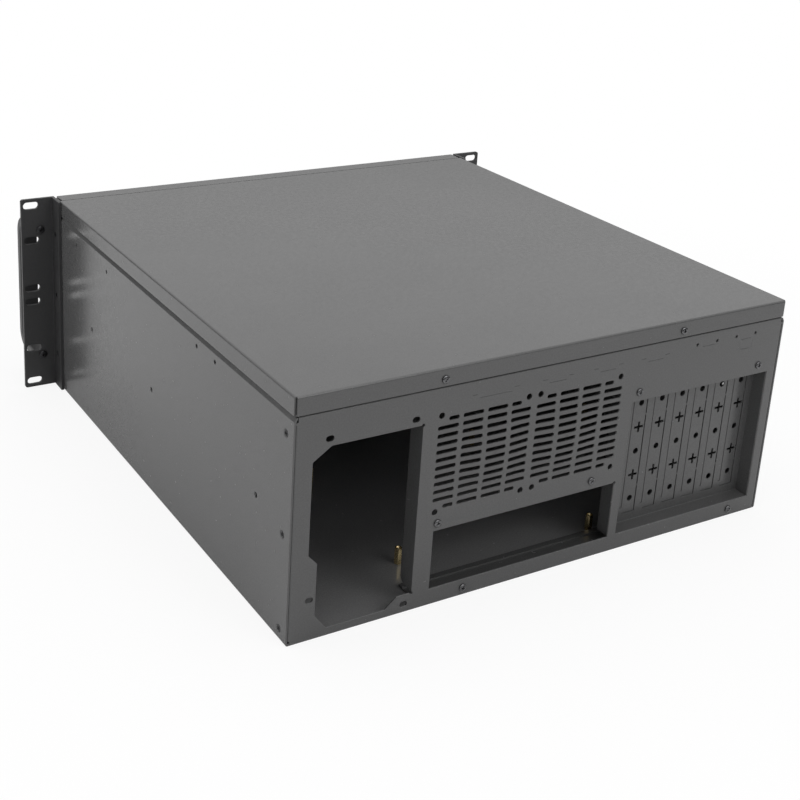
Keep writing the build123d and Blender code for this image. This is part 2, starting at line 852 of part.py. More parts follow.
def rack_ear(side):
    """Angle on the side of the case, with six rack slots in its front leg."""
    corner = side * half_width
    tip = side * ear_tip
    section = [
        (tip, front_y),
        (corner, front_y),
        (corner, front_y + ear_flange),
    ]
    inside = Side.RIGHT if side > 0 else Side.LEFT
    ear = along_z(folded(section, ear_sheet, small_bend, inside), 0, case_height)
    outer = ear.edges().filter_by(Axis.Y).filter_by(lambda e: abs(e.center().X - tip) < seam)
    ear = fillet(outer, ear_corner)
    cutters = []
    slot_x = side * (ear_tip - rack_slot_inset)
    for z in rack_slot_heights():
        cutters.append(slot_y(slot_x, z, rack_slot_length, rack_slot_width, front_y))
    for z in handle_screw_z():
        cutters.append(hole_y(side * handle_x, z, handle_screw[2] + shank_gap, front_y))
    for height in ear_screw_z:
        cutters.append(side_screw_cutter(ear_screw_y, height, side, half_width + ear_sheet))
    return ear - cutters


def handle(side):
    """Bow handle: a flat bar bent round to two feet that stand on the ear."""
    low = handle_height - handle_pitch / 2 - handle_bar / 2
    high = handle_height + handle_pitch / 2 + handle_bar / 2
    grip_y = front_y - handle_reach
    outline = [(front_y, low), (grip_y, low), (grip_y, high), (front_y, high)]
    section = folded(outline, handle_bar, handle_corner, Side.RIGHT)
    bar = along_x(section, -handle_width / 2, handle_width / 2)
    long_edges = [e for e in bar.edges() if abs(abs(e.center().X) - handle_width / 2) < seam
                  and e.center().Y < front_y - seam]
    bar = fillet(long_edges, handle_edge)
    bar = Pos(side * handle_x, 0, 0) * bar
    for z in handle_screw_z():
        bar -= rod(side * handle_x, front_y - handle_bore, z, handle_screw[2], (0, 1, 0), handle_bore)
    return bar


def handle_screw_z():
    return (handle_height - handle_pitch / 2, handle_height + handle_pitch / 2)


def handle_screws():
    seat = front_y + ear_sheet
    return [
        pan_screw(side * handle_x, seat, z, (0, 1, 0), handle_screw, handle_bore)
        for side in (1, -1) for z in handle_screw_z()
    ]


# Bars and cages inside

def cross_bar(middle, width, top, lip, screw_pitch, screw_drop):
    """Channel between the two sides; its long lips turn down, or up where lip is negative."""
    y = rear_y - middle
    level = top if lip > 0 else top - sheet
    inside = Side.RIGHT if lip > 0 else Side.LEFT
    front = y - width / 2
    back = y + width / 2
    channel = [(front, level - lip), (front, level), (back, level), (back, level - lip)]
    end = half_width - side_step - sheet - bend
    bar = along_x(folded(channel, sheet, bend, inside), -end, end)
    ends = [(-wall_x, top - brace_end), (-wall_x, top), (wall_x, top), (wall_x, top - brace_end)]
    bar += along_y(folded(ends, sheet, bend, Side.RIGHT), front + 2 * bend, back - 2 * bend)
    cutters = [
        hole_x(y + half * screw_pitch, top - screw_drop, small_screw[2], side)
        for side in (1, -1) for half in (-0.5, 0.5)
    ]
    return bar - cutters


def cross_brace():
    return cross_bar(brace_y, brace_width, brace_top, brace_lip, brace_screw_pitch, brace_screw_drop)


def cage_bridge():
    return cross_bar(bridge_y, bridge_width, bridge_top, -brace_lip, bridge_screw_pitch, bridge_screw_drop)


def cage(span, reach, row_heights):
    """Folded cage that stands on two feet, with rows of drive screw slots in its sides."""
    x0, x1 = span
    y0, y1 = reach
    top = bridge_top - sheet
    section = [
        (x0 - cage_foot, sheet + thin_sheet),
        (x0, sheet + thin_sheet),
        (x0, top),
        (x1, top),
        (x1, sheet + thin_sheet),
        (x1 + cage_foot, sheet + thin_sheet),
    ]
    radii = [step_bend, bend, bend, step_bend]
    shell = along_y(folded(section, thin_sheet, radii, Side.RIGHT), y0, y1)
    cutters = []
    for z in row_heights:
        for y in (y0 + cage_slot_inset, (y0 + y1) / 2, y1 - cage_slot_inset):
            slot = Pos(y, z) * SlotOverall(cage_slot_length, cage_slot_width)
            cutters.append(along_x(slot, x0 - bend, x1 + bend))
    for x, y in floor_screw_places():
        cutters.append(rod(x, y, 0, small_screw[2] + shank_gap, (0, 0, 1), 4 * sheet))
    return shell - cutters


def bay_cage():
    rows = [bay_bottom + bay_slot_rise + index * bay_height for index in range(bay_count)]
    return cage(cage_spans()[0], cage_ranges()[0], rows)


def drive_cage():
    rows = [drive_first_row + index * drive_row_pitch for index in range(drive_row_count)]
    return cage(cage_spans()[1], cage_ranges()[1], rows)


# Screws of the root body, grouped by what they hold

def rear_panel_screws():
    return [pan_screw(x_at(u), rear_y, z, (0, 1, 0), small_screw, screw_length) for u, z in rear_screws]


def side_panel_screws():
    return [
        flat_screw(rear_y - rear_side_screw_y, z, side, screw_length)
        for side in (1, -1) for z in side_screw_z
    ]


def bar_screws():
    """Screws through the sides into the ends of the brace and the bridge."""
    screws = []
    for middle, pitch, height in end_screw_rows():
        for side in (1, -1):
            for half in (-0.5, 0.5):
                y = rear_y - middle + half * pitch
                shank = rod(side * half_width, y, height, small_screw[2], (-side, 0, 0), screw_length)
                screws.append(shank)
    return screws


def ear_screws():
    return [
        flat_screw(ear_screw_y, z, side, ear_sheet + screw_length, half_width + ear_sheet)
        for side in (1, -1) for z in ear_screw_z
    ]


def cage_screws():
    top = sheet + thin_sheet
    return [pan_screw(x, y, top, (0, 0, 1), small_screw, top) for x, y in floor_screw_places()]


write("chassis_base", chassis_base())
write("rear_panel", rear_panel())
write("rear_frame", rear_frame())
write("motherboard_standoffs", motherboard_standoffs())
write("slot_frame", slot_frame())
write("top_cover", top_cover())
write("top_cover_screws", top_cover_screws())
write("front_panel", front_panel())
for number in range(bay_count):
    write(f"bay_cover_{number + 1}", bay_cover(number))
write("power_button", button(power_radius, power_z))
write("reset_button", button(reset_radius, reset_z))
write("switch_bracket", switch_bracket())
write("power_lamp", lamp(lamp_z[0]))
write("drive_lamp", lamp(lamp_z[1]))
write("rack_ear_right", rack_ear(1))
write("rack_ear_left", rack_ear(-1))
write("handle_right", handle(1))
write("handle_left", handle(-1))
write("handle_screws", handle_screws())
write("cross_brace", cross_brace())
write("cage_bridge", cage_bridge())
write("bay_cage", bay_cage())
write("drive_cage", drive_cage())
write("rear_panel_screws", rear_panel_screws())
write("side_panel_screws", side_panel_screws())
write("bar_screws", bar_screws())
write("ear_screws", ear_screws())
write("cage_screws", cage_screws())
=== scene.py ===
import json
import math

import bmesh
import bpy
from bpy.props import FloatProperty, FloatVectorProperty, PointerProperty
from mathutils import Matrix, Vector


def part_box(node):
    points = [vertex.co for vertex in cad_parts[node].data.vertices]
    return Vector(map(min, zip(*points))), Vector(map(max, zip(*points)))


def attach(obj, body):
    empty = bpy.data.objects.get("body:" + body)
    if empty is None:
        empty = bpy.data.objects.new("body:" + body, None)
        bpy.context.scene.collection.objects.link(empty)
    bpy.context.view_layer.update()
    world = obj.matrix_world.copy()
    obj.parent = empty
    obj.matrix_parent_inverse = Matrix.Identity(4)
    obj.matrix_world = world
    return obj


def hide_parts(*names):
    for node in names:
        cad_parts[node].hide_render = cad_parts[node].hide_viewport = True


bl_info = {
    "name": "Rack server case",
    "version": (1, 0, 0),
    "blender": (4, 5, 0),
    "location": "View3D > Sidebar > Rack case",
    "description": "Dresses the rack case with its finishes, screws and posts",
    "category": "Object",
}

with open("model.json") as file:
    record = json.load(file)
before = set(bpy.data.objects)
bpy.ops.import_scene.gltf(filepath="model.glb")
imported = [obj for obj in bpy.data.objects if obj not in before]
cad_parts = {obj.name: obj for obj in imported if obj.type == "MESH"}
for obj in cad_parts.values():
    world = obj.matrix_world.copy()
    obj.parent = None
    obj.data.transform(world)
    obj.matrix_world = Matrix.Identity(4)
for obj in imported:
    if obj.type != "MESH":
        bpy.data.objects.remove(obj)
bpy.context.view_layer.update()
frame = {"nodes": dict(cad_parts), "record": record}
NODES = frame["nodes"]
MM = 0.001

# Sizes that the screws share, how near points count as one, and the slots' sizes in the solids
HEAD_RADIUS = 2.9 * MM
SHANK_RADIUS = 1.5 * MM
HANDLE_HEAD_RADIUS = 3.6 * MM
HANDLE_SHANK_RADIUS = 2.0 * MM
COUNTERSINK_DEPTH = 1.2 * MM
RING_POINTS = 32
SAME_POINT = 0.01 * MM
SLOT_LENGTHS = (7 * MM, 18 * MM)
SLOT_HEIGHTS = (2 * MM, 3 * MM)
FEWEST_SLOTS = 40

SHELL = ("chassis_base", "top_cover", "rear_panel", "front_panel")
# Name of the shell's grey coat, which has painted light on the faces that look into the case
SHELL_COAT_PAINTED_LIGHT = "Grey powder coat, painted light inside"
DUST_COLOR = (0.30, 0.295, 0.285)


# Sizes and colours that a user would change

class CoatSettings(bpy.types.PropertyGroup):
    """Powder coat of the case, its ears and its handles."""

    panel_color: FloatVectorProperty(
        name="Panel colour", description="Grey of the base, lid and panels",
        subtype="COLOR", size=3, min=0, max=1, default=(0.075, 0.075, 0.0755))
    ear_color: FloatVectorProperty(
        name="Ear colour", description="Near black of the ears and handles",
        subtype="COLOR", size=3, min=0, max=1, default=(0.03, 0.03, 0.031))
    panel_roughness: FloatProperty(
        name="Panel roughness", description="Roughness of the grey coat",
        min=0, max=1, default=0.23)
    # Painted light: the coat colour is made this many times lighter on faces that look into the case,
    # standing in for light that reaches the inside
    inner_painted_light: FloatProperty(
        name="Inner painted light", description="How much lighter the coat is on faces that look into the case",
        min=1, max=4, default=2.4)
    ear_roughness: FloatProperty(
        name="Ear roughness", description="Roughness of the black coat",
        min=0, max=1, default=0.46)
    grain_size: FloatProperty(
        name="Grain size", description="Width of one bump of the powder texture",
        unit="LENGTH", min=0.0001, max=0.01, default=0.0011, precision=5)
    slot_width: FloatProperty(
        name="Grille slot width", description="Height of one slot of the fan grilles",
        unit="LENGTH", min=0.0005, max=0.005, default=0.003, precision=5)
    edge_width: FloatProperty(
        name="Edge width", description="Radius over which cut sheet edges look rounded",
        unit="LENGTH", min=0.00005, max=0.005, default=0.00045, precision=5)


class ScrewSettings(bpy.types.PropertyGroup):
    """Shapes and colours of the screws and board posts."""

    head_height: FloatProperty(
        name="Pan head height", description="How far a small round head stands out",
        unit="LENGTH", min=0.0005, max=0.005, default=0.0015, precision=5)
    handle_head_height: FloatProperty(
        name="Handle head height", description="How far the heads behind the ears stand out",
        unit="LENGTH", min=0.0005, max=0.005, default=0.0018, precision=5)
    recess_width: FloatProperty(
        name="Cross width", description="Width of one arm of the driver recess",
        unit="LENGTH", min=0.0002, max=0.003, default=0.0008, precision=5)
    recess_length: FloatProperty(
        name="Cross length", description="Length of one arm of the driver recess, end to end",
        unit="LENGTH", min=0.0005, max=0.006, default=0.0032, precision=5)
    bright_color: FloatVectorProperty(
        name="Plated steel", description="Colour of the plated screws",
        subtype="COLOR", size=3, min=0, max=1, default=(0.13, 0.13, 0.134))
    dark_color: FloatVectorProperty(
        name="Blackened steel", description="Colour of the blackened screws",
        subtype="COLOR", size=3, min=0, max=1, default=(0.05, 0.05, 0.052))
    brass_color: FloatVectorProperty(
        name="Brass", description="Colour of the board posts",
        subtype="COLOR", size=3, min=0, max=1, default=(0.74, 0.60, 0.33))
    thread_pitch: FloatProperty(
        name="Thread pitch", description="Distance between two turns in a post's bore",
        unit="LENGTH", min=0.0002, max=0.002, default=0.0006, precision=5)


class PlasticSettings(bpy.types.PropertyGroup):
    """Moulded parts of the front."""

    bezel_color: FloatVectorProperty(
        name="Bay cover colour", description="Black of the drive bay covers",
        subtype="COLOR", size=3, min=0, max=1, default=(0.026, 0.026, 0.028))
    button_color: FloatVectorProperty(
        name="Button colour", description="Dark grey of both buttons",
        subtype="COLOR", size=3, min=0, max=1, default=(0.045, 0.045, 0.048))
    lens_color: FloatVectorProperty(
        name="Lamp colour", description="Milky body of both lamps",
        subtype="COLOR", size=3, min=0, max=1, default=(0.72, 0.77, 0.78))


class StageSettings(bpy.types.PropertyGroup):
    """Floor, lamps and surroundings."""

    floor_color: FloatVectorProperty(
        name="Floor colour", description="Pale floor that takes the shadow",
        subtype="COLOR", size=3, min=0, max=1, default=(0.92, 0.92, 0.92))
    surround: FloatProperty(
        name="Surround light", description="Strength of the even light from all round",
        min=0, max=3, default=0.6)
    top_power: FloatProperty(
        name="Top lamp", description="Power of the lamp over the lid", unit="POWER",
        min=0, max=500, default=12.0)
    side_power: FloatProperty(
        name="Side lamp", description="Power of the lamp beside the case", unit="POWER",
        min=0, max=500, default=6.0)
    rear_power: FloatProperty(
        name="Rear lamp", description="Power of the lamp behind the case", unit="POWER",
        min=0, max=500, default=6.5)
    room_shade: FloatProperty(
        name="Room shade", description="How bright the room past the floor looks in reflections",
        min=0, max=1, default=0.06)
    floor_size: FloatProperty(
        name="Floor size", description="Length of one side of the floor", unit="LENGTH",
        min=1, max=50, default=8.0)


# Node groups that several finishes share

def group_socket(group, name, kind, into, default=None, low=None, high=None):
    """An input or output of a node group, with its default and limits if it has them."""
    in_out = "INPUT" if into else "OUTPUT"
    socket = group.interface.new_socket(name=name, in_out=in_out, socket_type=kind)
    if default is not None:
        socket.default_value = default
    if low is not None:
        socket.min_value = low
        socket.max_value = high
    return socket


def shared_group(name):
    """Decorator for a node group that is built on its first use and shared after that."""
    def keep(build):
        def get():
            group = bpy.data.node_groups.get(name)
            if group is None:
                group = bpy.data.node_groups.new(name, "ShaderNodeTree")
                build(group, group.nodes.new("NodeGroupInput"), group.nodes.new("NodeGroupOutput"))
            return group
        return get
    return keep


def add_math(tree, kind, first, second=None, clamp=False):
    """A Math node; each argument is a number or an output socket."""
    node = tree.nodes.new("ShaderNodeMath")
    node.operation = kind
    node.use_clamp = clamp
    for index, value in enumerate((first, second)):
        if isinstance(value, bpy.types.NodeSocket):
            tree.links.new(value, node.inputs[index])
        elif value is not None:
            node.inputs[index].default_value = value
    return node.outputs[0]


def add_vector_math(tree, kind, first, second=None):
    """The outputs of a Vector Math node between output sockets."""
    node = tree.nodes.new("ShaderNodeVectorMath")
    node.operation = kind
    tree.links.new(first, node.inputs[0])
    if second is not None:
        tree.links.new(second, node.inputs[1])
    return node.outputs


def object_place(tree):
    """Position on the object, in metres."""
    return tree.nodes.new("ShaderNodeTexCoord").outputs["Object"]


def surface_normal(tree):
    return tree.nodes.new("ShaderNodeNewGeometry").outputs["Normal"]


def add_noise(tree, vector, scale, detail=2.0, roughness=0.5):
    """A Noise Texture; scale is a number or an output socket."""
    node = tree.nodes.new("ShaderNodeTexNoise")
    tree.links.new(vector, node.inputs["Vector"])
    if isinstance(scale, bpy.types.NodeSocket):
        tree.links.new(scale, node.inputs["Scale"])
    else:
        node.inputs["Scale"].default_value = scale
    node.inputs["Detail"].default_value = detail
    node.inputs["Roughness"].default_value = roughness
    return node.outputs["Fac"]


def remap(tree, value, from_low, from_high, to_low, to_high):
    """A Map Range node: the value, stretched from one range to another and held within it."""
    node = tree.nodes.new("ShaderNodeMapRange")
    tree.links.new(value, node.inputs["Value"])
    limits = {"From Min": from_low, "From Max": from_high, "To Min": to_low, "To Max": to_high}
    for name, number in limits.items():
        node.inputs[name].default_value = number
    return node.outputs["Result"]


def varied(tree, value, amount):
    """A noise value between 0 and 1, moved to lie around 0 and scaled."""
    return add_math(tree, "MULTIPLY", add_math(tree, "SUBTRACT", value, 0.5), amount)


@shared_group("Powder texture")
def powder_texture(group, start, end):
    """Fine orange-peel texture of powder coat: shade, roughness shift and height."""
    peel_scale = 0.31
    peel_share = 0.65
    mottle_scale = 9.0
    roughness_range = 0.16
    group_socket(group, "Grain Size", "NodeSocketFloat", True, 0.0011, 0.0001, 0.01)
    group_socket(group, "Shade Amount", "NodeSocketFloat", True, 0.06, 0.0, 1.0)
    group_socket(group, "Mottle Amount", "NodeSocketFloat", True, 0.03, 0.0, 1.0)
    group_socket(group, "Shade", "NodeSocketFloat", False)
    group_socket(group, "Roughness Shift", "NodeSocketFloat", False)
    group_socket(group, "Height", "NodeSocketFloat", False)
    place = object_place(group)
    scale = add_math(group, "DIVIDE", 1.0, start.outputs["Grain Size"])
    grain = add_noise(group, place, scale, 3.0, 0.6)
    bumps = add_noise(group, place, scale, 0.0)
    peel = add_noise(group, place, add_math(group, "MULTIPLY", scale, peel_scale), 1.0, 0.5)
    mottle = add_noise(group, place, mottle_scale, 4.0, 0.55)
    fine_shade = varied(group, grain, start.outputs["Shade Amount"])
    wide_shade = varied(group, mottle, start.outputs["Mottle Amount"])
    shade = add_math(group, "ADD", add_math(group, "ADD", fine_shade, wide_shade), 1.0)
    fine_height = add_math(group, "MULTIPLY", bumps, 1.0 - peel_share)
    wide_height = add_math(group, "MULTIPLY", peel, peel_share)
    group.links.new(shade, end.inputs["Shade"])
    group.links.new(varied(group, peel, roughness_range), end.inputs["Roughness Shift"])
    group.links.new(add_math(group, "ADD", fine_height, wide_height), end.inputs["Height"])


@shared_group("Edge wear")
def edge_wear(group, start, end):
    """Mask of the places along sharp edges where the coat is thin, from a rounded normal."""
    group_socket(group, "Amount", "NodeSocketFloat", True, 0.5, 0.0, 1.0)
    group_socket(group, "Patch Scale", "NodeSocketFloat", True, 160.0, 1.0, 5000.0)
    group_socket(group, "Edge Normal", "NodeSocketVector", True)
    group_socket(group, "Mask", "NodeSocketFloat", False)
    dot = add_vector_math(group, "DOT_PRODUCT", start.outputs["Edge Normal"], surface_normal(group))
    turn = add_math(group, "SUBTRACT", 1.0, dot["Value"], clamp=True)
    edge = remap(group, turn, 0.01, 0.16, 0.0, 1.0)
    noise = add_noise(group, object_place(group), start.outputs["Patch Scale"], 3.0, 0.6)
    patches = remap(group, noise, 0.38, 0.66, 0.0, 1.0)
    worn = add_math(group, "MULTIPLY", edge, patches)
    mask = add_math(group, "MULTIPLY", worn, start.outputs["Amount"], clamp=True)
    group.links.new(mask, end.inputs["Mask"])


@shared_group("Inner faces")
def inner_faces(group, start, end):
    """Mask of the faces that look towards the middle of the case, where the shell's coat has painted
    light.
    """
    group_socket(group, "Middle", "NodeSocketVector", True)
    group_socket(group, "Mask", "NodeSocketFloat", False)
    away = add_vector_math(group, "SUBTRACT", object_place(group), start.outputs["Middle"])
    dot = add_vector_math(group, "DOT_PRODUCT", away["Vector"], surface_normal(group))
    group.links.new(add_math(group, "LESS_THAN", dot["Value"], 0.0), end.inputs["Mask"])


@shared_group("Settled dust")
def settled_dust(group, start, end):
    """Thin dust on surfaces that face up, in loose patches."""
    group_socket(group, "Amount", "NodeSocketFloat", True, 0.1, 0.0, 1.0)
    group_socket(group, "Patch Scale", "NodeSocketFloat", True, 14.0, 0.1, 500.0)
    group_socket(group, "Mask", "NodeSocketFloat", False)
    split = group.nodes.new("ShaderNodeSeparateXYZ")
    group.links.new(surface_normal(group), split.inputs[0])
    up = remap(group, split.outputs["Z"], 0.3, 1.0, 0.0, 1.0)
    noise = add_noise(group, object_place(group), start.outputs["Patch Scale"], 5.0, 0.6)
    patches = remap(group, noise, 0.35, 0.75, 0.2, 1.0)
    settled = add_math(group, "MULTIPLY", up, patches)
    mask = add_math(group, "MULTIPLY", settled, start.outputs["Amount"], clamp=True)
    group.links.new(mask, end.inputs["Mask"])


@shared_group("Tool marks")
def turned_marks(group, start, end):
    """Fine marks and faint stains that turning or heading leaves on small metal parts."""
    stain_scale = 700.0
    stain_depth = 0.35
    stain_floor = 0.82
    group_socket(group, "Scale", "NodeSocketFloat", True, 2600.0, 1.0, 20000.0)
    group_socket(group, "Shade", "NodeSocketFloat", False)
    group_socket(group, "Height", "NodeSocketFloat", False)
    place = object_place(group)
    fine = add_noise(group, place, start.outputs["Scale"], 2.0, 0.6)
    stain = add_math(group, "MULTIPLY", add_noise(group, place, stain_scale, 3.0, 0.6), stain_depth)
    group.links.new(add_math(group, "ADD", stain, stain_floor), end.inputs["Shade"])
    group.links.new(fine, end.inputs["Height"])


def place_group(tree, group, **values):
    """A node group in a material; a value's name is its socket's name, with _ for a space."""
    node = tree.nodes.new("ShaderNodeGroup")
    node.node_tree = group
    for name, value in values.items():
        node.inputs[name.replace("_", " ")].default_value = value
    return node


def case_middle():
    """Middle of the base, without its ears."""
    low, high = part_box("chassis_base")
    return (Vector(low) + Vector(high)) / 2


def new_material(name):
    material = bpy.data.materials.new(name)
    material.use_nodes = True
    tree = material.node_tree
    shader = tree.nodes["Principled BSDF"]
    return material, tree, shader


def tinted(tree, color, shade):
    """The colour, made lighter or darker by a shade value near 1."""
    node = tree.nodes.new("ShaderNodeVectorMath")
    node.operation = "SCALE"
    node.inputs[0].default_value = color
    tree.links.new(shade, node.inputs["Scale"])
    return node.outputs["Vector"]


def mixed(tree, mask, base, color):
    """Base colour socket that turns into a fixed colour where the mask is 1."""
    node = tree.nodes.new("ShaderNodeMix")
    node.data_type = "RGBA"
    tree.links.new(mask, node.inputs["Factor"])
    tree.links.new(base, node.inputs[6])
    node.inputs[7].default_value = (*color, 1.0)
    return node.outputs[2]


def softened_edges(tree, radius):
    """Normal that looks rounded along sharp edges."""
    bevel = tree.nodes.new("ShaderNodeBevel")
    bevel.samples = 4
    bevel.inputs["Radius"].default_value = radius
    return bevel.outputs["Normal"]


def bumped(tree, shader, height, distance, strength, normal=None):
    """Give the shader a normal with small bumps, on top of another normal if there is one."""
    node = tree.nodes.new("ShaderNodeBump")
    node.inputs["Distance"].default_value = distance
    node.inputs["Strength"].default_value = strength
    tree.links.new(height, node.inputs["Height"])
    if normal is not None:
        tree.links.new(normal, node.inputs["Normal"])
    tree.links.new(node.outputs["Normal"], shader.inputs["Normal"])


def powder_coat(name, color, roughness, coat, inner_painted_light=1.0, wear=0.12, dust=0.05):
    """Powder coated steel: grain, soft edges with thin spots, a little dust, and painted light that
    makes faces which look into the case lighter.
    """
    worn_gain = 1.9
    worn_lift = 0.03
    worn_polish = 0.12
    material, tree, shader = new_material(name)
    texture = place_group(
        tree, powder_texture(), Grain_Size=coat.grain_size, Shade_Amount=0.6, Mottle_Amount=0.06)
    # Painted light: faces that look towards the middle of the case get a lighter colour, standing in
    # for light inside the case
    inner = place_group(tree, inner_faces(), Middle=case_middle())
    lift = remap(tree, inner.outputs["Mask"], 0.0, 1.0, 1.0, inner_painted_light)
    edges = softened_edges(tree, coat.edge_width)
    worn = place_group(tree, edge_wear(), Amount=wear, Patch_Scale=160.0)
    tree.links.new(edges, worn.inputs["Edge Normal"])
    dusty = place_group(tree, settled_dust(), Amount=dust, Patch_Scale=14.0)
    base = tinted(tree, color, add_math(tree, "MULTIPLY", texture.outputs["Shade"], lift))
    lighter = tuple(min(1.0, channel * worn_gain + worn_lift) for channel in color)
    base = mixed(tree, worn.outputs["Mask"], base, lighter)
    base = mixed(tree, dusty.outputs["Mask"], base, DUST_COLOR)
    tree.links.new(base, shader.inputs["Base Color"])
    rough = add_math(tree, "ADD", texture.outputs["Roughness Shift"], roughness)
    polish = add_math(tree, "MULTIPLY", worn.outputs["Mask"], worn_polish)
    rough = add_math(tree, "SUBTRACT", rough, polish, clamp=True)
    tree.links.new(rough, shader.inputs["Roughness"])
    shader.inputs["Metallic"].default_value = 0.0
    shader.inputs["Specular IOR Level"].default_value = 0.5
    bumped(tree, shader, texture.outputs["Height"], distance=0.06 * MM, strength=0.3, normal=edges)
    return material


def screw_metal(name, color, roughness):
    """Plated or blackened steel, or brass, with fine tool marks."""
    roughness_range = 0.18
    material, tree, shader = new_material(name)
    marks = place_group(tree, turned_marks(), Scale=2600.0)
    tree.links.new(tinted(tree, color, marks.outputs["Shade"]), shader.inputs["Base Color"])
    shader.inputs["Metallic"].default_value = 1.0
    rough = add_math(tree, "MULTIPLY", marks.outputs["Height"], roughness_range)
    rough = add_math(tree, "ADD", rough, roughness - roughness_range / 2)
    tree.links.new(rough, shader.inputs["Roughness"])
    bumped(tree, shader, marks.outputs["Height"], distance=0.03 * MM, strength=0.4)
    return material


def moulded_plastic(name, color, roughness):
    """Moulded plastic with a fine spark texture."""
    material, tree, shader = new_material(name)
    texture = place_group(
        tree, powder_texture(), Grain_Size=0.5 * MM, Shade_Amount=0.08, Mottle_Amount=0.05)
    edges = softened_edges(tree, 0.4 * MM)
    dusty = place_group(tree, settled_dust(), Amount=0.06, Patch_Scale=20.0)
    base = tinted(tree, color, texture.outputs["Shade"])
    base = mixed(tree, dusty.outputs["Mask"], base, DUST_COLOR)
    tree.links.new(base, shader.inputs["Base Color"])
    rough = add_math(tree, "ADD", texture.outputs["Roughness Shift"], roughness)
    tree.links.new(rough, shader.inputs["Roughness"])
    shader.inputs["Specular IOR Level"].default_value = 0.45
    bumped(tree, shader, texture.outputs["Height"], distance=0.04 * MM, strength=0.5, normal=edges)
    return material


def lamp_plastic(name, color):
    """Clear, milky lamp body, not lit."""
    material, tree, shader = new_material(name)
    cloud = add_noise(tree, object_place(tree), 900.0, 3.0, 0.5)
    shade = remap(tree, cloud, 0.3, 0.7, 0.9, 1.05)
    tree.links.new(tinted(tree, color, shade), shader.inputs["Base Color"])
    shader.inputs["Roughness"].default_value = 0.12
    shader.inputs["Transmission Weight"].default_value = 0.25
    shader.inputs["IOR"].default_value = 1.5
    return material


# Meshes

def make_object(name, mesh):
    thing = bpy.data.objects.new(name, mesh)
    bpy.context.scene.collection.objects.link(thing)
    return thing


def need(node):
    """A CAD node's object; a node that the frame lacks is an error."""
    if node not in NODES:
        raise RuntimeError(f"the frame has no node {node}")
    return NODES[node]


def joined_mesh(node):
    """A bmesh copy of a CAD node's mesh, with its split points joined."""
    mesh = bmesh.new()
    mesh.from_mesh(need(node).data)
    bmesh.ops.remove_doubles(mesh, verts=mesh.verts, dist=SAME_POINT)
    return mesh


def paint(nodes, material):
    """Give CAD nodes a finish through their material slots."""
    for node in nodes:
        thing = need(node)
        if not thing.material_slots:
            thing.data.materials.append(material)
        for slot in thing.material_slots:
            slot.material = material


def islands(node):
    """Lowest and highest corner of each separate solid in a CAD node."""
    mesh = joined_mesh(node)
    left = set(mesh.verts)
    boxes = []
    while left:
        stack = [left.pop()]
        points = []
        while stack:
            vert = stack.pop()
            points.append(vert.co.copy())
            for edge in vert.link_edges:
                other = edge.other_vert(vert)
                if other in left:
                    left.remove(other)
                    stack.append(other)
        low = Vector([min(p[axis] for p in points) for axis in range(3)])
        high = Vector([max(p[axis] for p in points) for axis in range(3)])
        boxes.append((low, high))
    mesh.free()
    return sorted(boxes, key=lambda box: tuple(round(c, 5) for c in box[0]))


def rings_mesh(rings):
    """A closed bmesh through rings of points that all have the same count."""
    mesh = bmesh.new()
    rows = [[mesh.verts.new(point) for point in ring] for ring in rings]
    for lower, upper in zip(rows, rows[1:]):
        for index in range(len(lower)):
            after = (index + 1) % len(lower)
            mesh.faces.new((lower[index], lower[after], upper[after], upper[index]))
    mesh.faces.new(list(reversed(rows[0])))
    mesh.faces.new(rows[-1])
    bmesh.ops.recalc_face_normals(mesh, faces=mesh.faces)
    return mesh


def circle(radius, height, count=RING_POINTS):
    """Ring of points round the z axis."""
    angles = [2 * math.pi * index / count for index in range(count)]
    return [(radius * math.cos(angle), radius * math.sin(angle), height) for angle in angles]


def finished(mesh, name, smooth_angle=40):
    """Turn a bmesh into mesh data with smooth faces and sharp creases."""
    for edge in mesh.edges:
        if len(edge.link_faces) == 2 and edge.calc_face_angle(0.0) > math.radians(smooth_angle):
            edge.smooth = False
    for face in mesh.faces:
        face.smooth = True
    data = bpy.data.meshes.new(name)
    mesh.to_mesh(data)
    mesh.free()
    return data


def cross_cutter(width, length, top, depth):
    """Tapered cross that leaves the driver recess when it is cut out of a head."""
    corners = ((-1, -1), (1, -1), (1, 1), (-1, 1))
    flare = 1.15
    overshoot = 0.3
    side_taper = 0.8
    end_taper = 0.45
    arms = (
        ((width, length), (side_taper, end_taper)),
        ((length, width), (end_taper, side_taper)),
    )
    floor = top - depth
    roof = top + depth * overshoot
    pieces = bmesh.new()
    for (size_x, size_y), (taper_x, taper_y) in arms:
        low = [(x * size_x / 2 * taper_x, y * size_y / 2 * taper_y, floor) for x, y in corners]
        high = [(x * size_x / 2 * flare, y * size_y / 2 * flare, roof) for x, y in corners]
        part = rings_mesh([low, high])
        data = bpy.data.meshes.new("arm")
        part.to_mesh(data)
        part.free()
        pieces.from_mesh(data)
        bpy.data.meshes.remove(data)
    data = bpy.data.meshes.new("cross")
    pieces.to_mesh(data)
    pieces.free()
    return make_object("cross_cutter", data)


def cut_recess(mesh, screws, top, depth):
    """Cut the driver recess into a head, and return the cut mesh data."""
    body = make_object("head", finished(mesh, "head"))
    cutter = cross_cutter(screws.recess_width, screws.recess_length, top, depth)
    boolean = body.modifiers.new("Recess", "BOOLEAN")
    boolean.operation = "DIFFERENCE"
    boolean.solver = "EXACT"
    boolean.use_self = True
    boolean.object = cutter
    bpy.context.view_layer.update()
    depsgraph = bpy.context.evaluated_depsgraph_get()
    data = bpy.data.meshes.new_from_object(body.evaluated_get(depsgraph))
    bpy.data.objects.remove(body)
    bpy.data.objects.remove(cutter)
    fewest_faces = 40
    if len(data.polygons) < fewest_faces:
        raise RuntimeError("the driver recess could not be cut")
    return data


def shank(radius, length):
    """Rings of a plain shank from its tapered end up to its head's seat, less the last ring."""
    return [circle(radius * 0.7, -length), circle(radius, -length + radius * 0.3)]


